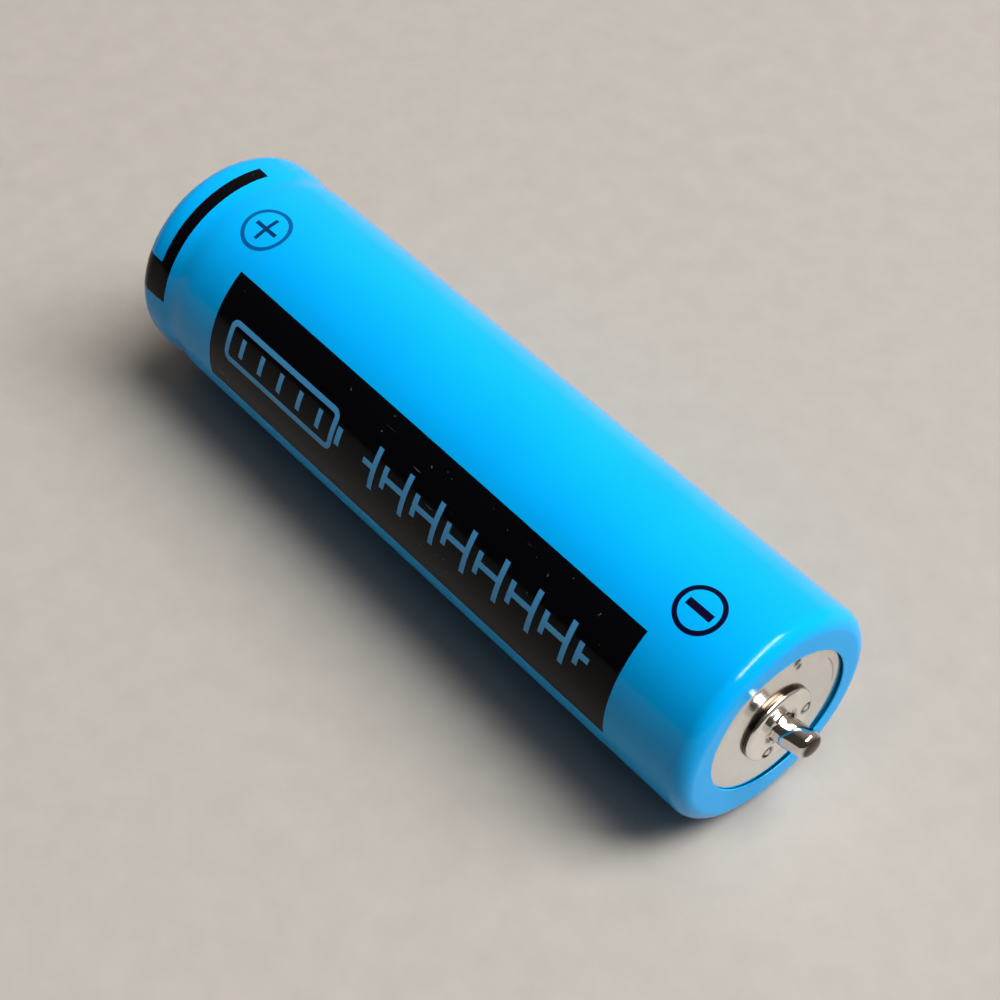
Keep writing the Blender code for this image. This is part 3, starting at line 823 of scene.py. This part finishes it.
def make_can():
    """The can: closed and slightly dished at the negative end, beaded and crimped at the positive end."""
    corner = SLEEVE_CORNERS[1] - SLEEVE_WALL
    corner_radius = CAN_RADIUS - corner
    bead = BEAD_FROM_END - HALF_LENGTH
    crimp_face = SEAT_GAP - WASHER_UNDER
    lip_radius = CAN_RADIUS - CRIMP_LIP
    outer = radial(CAN_BOTTOM, 0, corner_radius - 0.05, 40)
    outer += arc(CAN_BOTTOM - corner, corner_radius, corner, 0, 90)[1:]
    outer += bead_groove(bead, 0.7, 0.25, CAN_RADIUS)
    outer += arc(crimp_face + corner, corner_radius, corner, 90, 180)
    outer += [(crimp_face, lip_radius), (crimp_face + CAN_WALL, lip_radius)]
    inner = arc(crimp_face + corner, corner_radius, corner - CAN_WALL, 180, 90)
    inner += reversed(bead_groove(bead, 0.8, 0.3, CAN_RADIUS - CAN_WALL))
    inner += arc(CAN_BOTTOM - corner, corner_radius, corner - CAN_WALL, 90, 0)
    inner.append((CAN_BOTTOM - CAN_WALL, 0))
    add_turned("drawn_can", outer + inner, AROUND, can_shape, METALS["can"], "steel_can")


def can_shape(along, radius, angle):
    """The can's bottom: slightly dished, lower at its rim, with a pressed arc and a small nick."""
    if along < CAN_BOTTOM - 0.01:
        return along, radius
    dish = 0.02 * bell(radius, 3.6, 0.9) + 0.07 * bell(radius, RIM_DIP_RADIUS, 0.5)
    span = wrapped(angle - math.radians(LINE_DEGREES)) / 0.36
    groove = 0.03 * bell(radius, LINE_RADIUS, 0.07) * math.exp(-span ** 4)
    nick_degrees, nick_radius = NICK_DENT
    across = wrapped(angle - math.radians(nick_degrees)) * radius
    nick = 0.05 * bell(across, 0, 0.12) * bell(radius, nick_radius, 0.4)
    return along - dish - groove - nick, radius


def contact_shape(side):
    """The plate's top: two spot-weld craters, each a ring-shaped hollow round a bump, and the pin's weld."""
    def shape(along, radius, angle):
        if along < PLATE_TOP - 0.005:
            return side * along, radius
        height = 0.0
        for place in WELD_PLACES:
            weld_y, weld_z = end_place(*place)
            off = math.hypot(radius * math.cos(angle) - weld_y, radius * math.sin(angle) - weld_z)
            height += 0.02 * bell(off, 0, 0.12) - 0.10 * bell(off, WELD_RADIUS, 0.10)
        lumps = 0.5 * math.sin(3 * angle + 1) + 0.35 * math.sin(7 * angle) + 0.25 * math.sin(12 * angle + 2)
        height += 0.09 * bell(radius, 1.02, 0.15) * (1 + lumps)
        return side * (along + height), radius
    return shape


def pin_shape(side):
    """The pin's drawn surface: slightly uneven, as hand-dressed metal is, and inside its CAD pin."""
    def shape(along, radius, angle):
        rise = along - PLATE_TOP
        uneven = 0.012 * math.sin(2 * angle + 3 * rise) + 0.010 * math.sin(3 * angle - 5 * rise + 1)
        return side * along, radius * (1 + uneven - 0.012 - 0.010)
    return shape


def rounded(corners, radius, steps=4):
    """A profile whose corners, apart from its two ends, are rounded."""
    points = [corners[0]]
    for before, corner, after in zip(corners, corners[1:], corners[2:]):
        back = Vector(before) - Vector(corner)
        ahead = Vector(after) - Vector(corner)
        start = Vector(corner) + back.normalized() * min(radius, back.length / 2)
        end = Vector(corner) + ahead.normalized() * min(radius, ahead.length / 2)
        for step in range(steps + 1):
            share = step / steps
            mixed = start * (1 - share) ** 2 + Vector(corner) * 2 * share * (1 - share) + end * share ** 2
            points.append((mixed.x, mixed.y))
    points.append(corners[-1])
    return points


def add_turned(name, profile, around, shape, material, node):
    piece = add_object(name, turned_mesh(name, profile, around, shape))
    piece.data.materials.append(material)
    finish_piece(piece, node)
    return piece


def make_contacts():
    """The welded plate and pin on each end."""
    bore = PIN_RADIUS + SEAT_GAP
    plate_profile = radial(PLATE_TOP, bore, PLATE_RADIUS - PLATE_EDGE, 40)
    plate_profile += arc(PLATE_TOP - PLATE_EDGE, PLATE_RADIUS - PLATE_EDGE, PLATE_EDGE, 0, 90, 6)[1:]
    plate_profile += [(PLATE_SEAT, PLATE_RADIUS), (PLATE_SEAT, bore)]
    pin_profile = [(PIN_TIP, 0), (PIN_TIP - 0.008, 0.20), (PIN_TIP - 0.03, 0.38)]
    pin_profile += arc(PIN_TIP - 0.52, 0.38, 0.48, 12, 85, 8)
    pin_profile += [(PIN_TIP - 0.62, 0.868), (PIN_TIP - 1.0, 0.884), (PIN_TIP - 1.35, PIN_RADIUS),
                    (PLATE_TOP + 0.58, 0.892), (PLATE_TOP + 0.40, 0.865), (PLATE_TOP + 0.20, 0.83),
                    (PLATE_TOP + 0.08, 0.85), (PLATE_TOP + 0.02, PIN_RADIUS),
                    (PLATE_SEAT + SEAT_GAP, PIN_RADIUS), (PLATE_SEAT + SEAT_GAP, 0)]
    for side, end in ((1, "negative"), (-1, "positive")):
        add_turned(f"{end}_welded_plate", plate_profile, 192, contact_shape(side), METALS["plate"],
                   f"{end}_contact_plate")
        pin = add_turned(f"{end}_pin", pin_profile, 64, pin_shape(side), METALS["pin"],
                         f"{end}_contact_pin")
        for vert in pin.data.vertices:
            rise = max(0.0, side * vert.co.x - (PLATE_TOP + PIN_LEAN_FROM) * MM)
            vert.co.y += rise * PIN_LEAN


def mirrored(along, radius, _):
    """Turns a profile that is written for the negative end to the positive end."""
    return -along, radius


def make_washer():
    """The white washer in the mouth at the positive end."""
    start = (WASHER_UNDER, WASHER_HOLE + 0.1)
    profile = rounded([start, (WASHER_UNDER, WASHER_HOLE), (WASHER_TOP, WASHER_HOLE),
                       (WASHER_TOP, WASHER_RADIUS), (WASHER_UNDER, WASHER_RADIUS), start], 0.05)[:-1]
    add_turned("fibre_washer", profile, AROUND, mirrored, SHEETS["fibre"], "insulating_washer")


def make_cap():
    """The positive cap, with a ring of vent holes drilled through its slope."""
    flange_top = CAP_UNDER + CAP_THICKNESS
    under = CAP_TOP - CAP_THICKNESS
    profile = rounded([(CAP_TOP, 0), (CAP_TOP, CAP_TOP_RADIUS), (flange_top, CAP_FOOT_RADIUS),
                       (flange_top, CAP_RADIUS), (CAP_UNDER, CAP_RADIUS),
                       (CAP_UNDER, CAP_FOOT_RADIUS - CAP_THICKNESS / 2),
                       (under, CAP_TOP_RADIUS - CAP_THICKNESS / 2), (under, 0)], 0.12)
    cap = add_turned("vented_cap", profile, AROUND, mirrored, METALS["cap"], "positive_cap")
    slope_along = -(CAP_TOP + flange_top) / 2 + CAP_THICKNESS / 2
    slope_radius = (CAP_FOOT_RADIUS + CAP_TOP_RADIUS - CAP_THICKNESS / 2) / 2
    drill_vents(cap, slope_along, slope_radius)


def drill_vents(cap, along, radius):
    """Cuts the vent holes, which point outwards from the cell's axis at a place along it."""
    drills = bmesh.new()
    for index in range(VENT_COUNT):
        turn = 2 * math.pi * (index + 0.5) / VENT_COUNT
        outward = Vector((0, math.cos(turn), math.sin(turn)))
        place = Vector((along, 0, 0)) + outward * radius
        where = Matrix.Translation(place * MM) @ outward.to_track_quat("Z", "X").to_matrix().to_4x4()
        bmesh.ops.create_cone(drills, cap_ends=True, segments=24, radius1=VENT_RADIUS * MM,
                              radius2=VENT_RADIUS * MM, depth=2 * MM, matrix=where)
    drill_mesh = bpy.data.meshes.new("vent_drills")
    drills.to_mesh(drill_mesh)
    drills.free()
    tool = add_object("vent_drills", drill_mesh)
    cut = cap.modifiers.new("vents", "BOOLEAN")
    cut.object = tool
    cut.solver = "EXACT"
    vented = bpy.data.meshes.new_from_object(cap.evaluated_get(bpy.context.evaluated_depsgraph_get()))
    cap.modifiers.clear()
    cap.data = vented
    bpy.data.objects.remove(tool)


def dress_inner_parts():
    """Materials for the parts inside, which are shown as their CAD shapes."""
    looks = {
        "crimp_gasket": SHEETS["plastic"],
        "cid_insulating_ring": SHEETS["plastic"],
        "ptc_washer": SHEETS["carbon"],
        "burst_disc": METALS["aluminium"],
        "cid_contact_plate": METALS["aluminium"],
        "positive_tab": METALS["aluminium"],
        "top_insulator": SHEETS["fibre"],
        "bottom_insulator": SHEETS["fibre"],
        "core_tube": METALS["can"],
        "negative_tab": METALS["cap"],
        "cathode_sheet": SHEETS["cathode"],
        "anode_sheet": SHEETS["anode"],
        "inner_separator": SHEETS["separator"],
        "outer_separator": SHEETS["separator"],
        "roll_end_tape": SHEETS["tape"],
    }
    for node, material in looks.items():
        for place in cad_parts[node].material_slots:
            place.material = material


# ---------------------------------------------------------------- camera, light and floor

def make_camera():
    camera = bpy.data.objects.new("camera", bpy.data.cameras.new("camera"))
    bpy.context.scene.collection.objects.link(camera)
    camera.location = Vector((64.580, -53.753, 92.978)) * MM
    gaze = Vector((-0.49722, 0.42887, -0.75422))
    camera.rotation_euler = gaze.to_track_quat("-Z", "Y").to_euler()
    camera.data.lens = 76.13
    camera.data.clip_start = 0.01
    bpy.context.scene.camera = camera


def aimed_light(name, direction, long_way, distance, size, power, colour):
    """A rectangular soft light that faces the cell from a direction, its second size along long_way."""
    data = bpy.data.lights.new(name, "AREA")
    data.shape = "RECTANGLE"
    data.size, data.size_y = size
    data.energy = power
    data.color = colour
    lamp = bpy.data.objects.new(name, data)
    bpy.context.scene.collection.objects.link(lamp)
    way = Vector(direction).normalized()
    tall = Vector(long_way)
    tall = (tall - way * tall.dot(way)).normalized()
    lamp.location = way * distance
    lamp.rotation_euler = Matrix((tall.cross(way), tall, way)).transposed().to_euler()
    return lamp


def make_lights():
    """A broad soft window that lights surfaces, and its narrow bright part that shows in reflections."""
    distance = 1.2
    window = aimed_light("window", (0.45, 0.42, 1.0), (0, 0, 1), distance, size=(0.50, 1.15), power=25.2,
                         colour=(1.0, 0.985, 0.98))
    window.visible_glossy = False
    pane = aimed_light("window_pane", (0.41, 0.09, 0.91), (-0.33, 0.82, -0.02), distance, size=(0.38, 1.17),
                       power=36.0, colour=(1.0, 0.98, 0.93))
    pane.visible_diffuse = False
    make_room()


def make_room():
    """A dim warm room, lighter on the window's side."""
    world = bpy.data.worlds.new("dim_room")
    bpy.context.scene.world = world
    world.use_nodes = True
    nodes = world.node_tree.nodes
    links = world.node_tree.links
    back = nodes["Background"]
    back.inputs["Color"].default_value = (1.0, 0.82, 0.68, 1.0)
    way = nodes.new("ShaderNodeTexCoord")
    split = nodes.new("ShaderNodeSeparateXYZ")
    fade = nodes.new("ShaderNodeMapRange")
    fade.inputs["From Min"].default_value = -0.5
    fade.inputs["From Max"].default_value = 0.6
    fade.inputs["To Min"].default_value = 0.045
    fade.inputs["To Max"].default_value = 0.34
    links.new(way.outputs["Generated"], split.inputs["Vector"])
    links.new(split.outputs["Y"], fade.inputs["Value"])
    links.new(fade.outputs["Result"], back.inputs["Strength"])


def make_floor():
    bpy.ops.mesh.primitive_grid_add(x_subdivisions=4, y_subdivisions=4, size=1.6,
                                    location=(0, 0, -RADIUS * MM))
    floor = bpy.context.object
    floor.name = "floor"
    material = new_material("floor_board", (0.375, 0.355, 0.325), 0.7)
    tone = spread(material, cloud(material, 2.2, detail=6.0), 0.0, 1.0)
    feed(material, blend_colours(material, tone, (0.384, 0.363, 0.331), (0.360, 0.340, 0.311)), "Base Color")
    add_bump(material, [(cloud(material, 0.8, detail=5.0), 0.02)])
    floor.data.materials.append(material)


bpy.context.scene.view_settings.view_transform = "Standard"

INKS = {
    "blue": film_material("blue_film", (0.0, 0.410, 0.94), (0.0, 0.386, 0.91)),
    "black": worn_ink("black_ink", (0.0022, 0.0026, 0.0042), (0.0018, 0.0020, 0.0032)),
    "sky": film_material("sky_ink", (0.075, 0.37, 0.74), (0.068, 0.35, 0.71)),
    "navy": film_material("navy_ink", (0.003, 0.002, 0.026), (0.002, 0.002, 0.020)),
    "pale_navy": film_material("pale_navy_ink", (0.0, 0.098, 0.30), (0.0, 0.090, 0.28)),
    "ink_blue": film_material("ink_blue", (0.0, 0.036, 0.130), (0.0, 0.032, 0.115)),
}
METALS = {
    "can": can_material(),
    "plate": plate_material(),
    "pin": pin_material(),
    "cap": metal_material("cap_nickel", (0.80, 0.78, 0.74), (0.73, 0.70, 0.65), 0.15),
    "aluminium": metal_material("rolled_aluminium", (0.86, 0.87, 0.88), (0.78, 0.79, 0.80), 0.26),
}
SHEETS = {
    "fibre": sheet_material("white_fibre", (0.82, 0.80, 0.74), (0.72, 0.69, 0.62), 0.8, 0.12, 0.010),
    "plastic": sheet_material("natural_polypropylene", (0.74, 0.76, 0.74), (0.66, 0.68, 0.66), 0.42, 0.5,
                              0.003),
    "carbon": sheet_material("carbon_polymer", (0.020, 0.020, 0.023), (0.045, 0.044, 0.046), 0.6, 0.15,
                             0.006),
    "cathode": sheet_material("cathode_coating", (0.016, 0.016, 0.019), (0.034, 0.034, 0.038), 0.75, 0.06,
                              0.004),
    "anode": sheet_material("anode_coating", (0.055, 0.040, 0.032), (0.090, 0.062, 0.045), 0.66, 0.08,
                            0.004),
    "separator": sheet_material("separator_film", (0.86, 0.87, 0.88), (0.76, 0.78, 0.80), 0.34, 0.4, 0.002,
                                stretch=(0.3, 1, 1)),
    "tape": sheet_material("amber_tape", (0.62, 0.30, 0.035), (0.52, 0.23, 0.022), 0.22, 0.9, 0.003),
}

make_camera()
make_lights()
make_floor()
make_sleeve()
make_can()
make_contacts()
make_washer()
make_cap()
dress_inner_parts()
